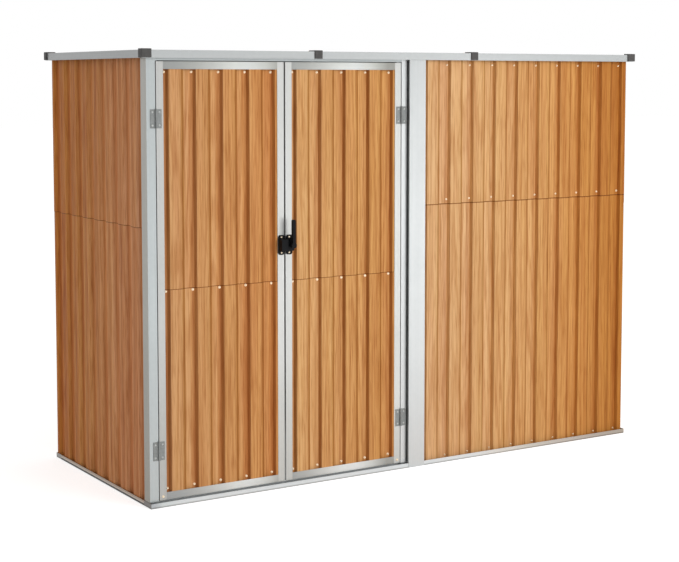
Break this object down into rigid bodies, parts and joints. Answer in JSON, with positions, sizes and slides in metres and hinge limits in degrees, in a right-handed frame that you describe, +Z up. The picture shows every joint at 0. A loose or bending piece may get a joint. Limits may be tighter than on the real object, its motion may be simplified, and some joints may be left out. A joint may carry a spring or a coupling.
{
  "type": "tool shed",
  "caption": "Low garden tool shed: ribbed wood-print steel sheets in a folded metal frame, hinged double doors with a turn latch, flat roof with a capped fascia.",
  "frame": {"origin": "centre of the rectangle of the four anchor holes in the base rails, on the ground plane", "axes": "+X along the front towards the fixed wall, +Y from the doors to the back wall, +Z up"},
  "size_m": [2.2586, 0.9263, 1.61],
  "materials": {
    "frame_steel": "galvanised, satin",
    "printed_sheet": "wood-grain print under satin lacquer",
    "cap_plastic": "dark grey moulded plastic",
    "hinge_steel": "zinc plated",
    "latch_plastic": "black moulded plastic"
  },
  "bodies": {
    "shed": {"base_rail_front": "frame_steel", "base_rail_back": "frame_steel", "base_rail_left": "frame_steel", "base_rail_right": "frame_steel", "corner_post_front_left": "frame_steel", "corner_post_front_right": "frame_steel", "corner_post_back_left": "frame_steel", "corner_post_back_right": "frame_steel", "door_post": "frame_steel", "centre_post": "frame_steel", "back_post": "frame_steel", "door_header": "frame_steel", "top_rail_front": "frame_steel", "top_rail_back": "frame_steel", "top_rail_left": "frame_steel", "top_rail_right": "frame_steel", "mid_rail_left": "frame_steel", "mid_rail_right": "frame_steel", "mid_rail_back": "frame_steel", "mid_rail_front": "frame_steel", "front_wall_upper_panel": "printed_sheet", "front_wall_lower_panel": "printed_sheet", "left_wall_upper_panel": "printed_sheet", "left_wall_lower_panel": "printed_sheet", "right_wall_upper_panel": "printed_sheet", "right_wall_lower_panel": "printed_sheet", "back_wall_upper_panels": "printed_sheet", "back_wall_lower_panels": "printed_sheet", "hinge_frame_leaves": "hinge_steel", "hinge_pins": "hinge_steel", "fascia_front": "frame_steel", "fascia_back": "frame_steel", "fascia_left": "frame_steel", "fascia_right": "frame_steel", "roof_panels": "printed_sheet", "roof_ribs": "frame_steel", "roof_cover_strips": "frame_steel", "roof_corner_caps": "cap_plastic", "roof_joint_caps": "cap_plastic"},
    "left_door": {"left_door_hinge_stile": "frame_steel", "left_door_meeting_stile": "frame_steel", "left_door_top_rail": "frame_steel", "left_door_mid_rail": "frame_steel", "left_door_bottom_rail": "frame_steel", "left_door_upper_panel": "printed_sheet", "left_door_lower_panel": "printed_sheet", "left_door_hinge_leaves": "hinge_steel", "latch_keeper": "latch_plastic"},
    "right_door": {"right_door_hinge_stile": "frame_steel", "right_door_meeting_stile": "frame_steel", "right_door_top_rail": "frame_steel", "right_door_mid_rail": "frame_steel", "right_door_bottom_rail": "frame_steel", "right_door_upper_panel": "printed_sheet", "right_door_lower_panel": "printed_sheet", "right_door_hinge_leaves": "hinge_steel", "latch_body": "latch_plastic"},
    "latch": {"latch_cam": "latch_plastic", "latch_lever": "latch_plastic"}
  },
  "joints": [
    {"name": "left_door_swing", "type": "hinge", "parent": "shed", "child": "left_door", "pos_m": [-1.06625, -0.4352, 0.784], "axis": [0, 0, -1], "range_deg": [0, 170]},
    {"name": "right_door_swing", "type": "hinge", "parent": "shed", "child": "right_door", "pos_m": [-0.04045, -0.4352, 0.784], "axis": [0, 0, 1], "range_deg": [0, 150]},
    {"name": "latch_turn", "type": "hinge", "parent": "right_door", "child": "latch", "pos_m": [-0.5362, -0.44, 0.901], "axis": [0, -1, 0], "range_deg": [0, 90]}
  ]
}
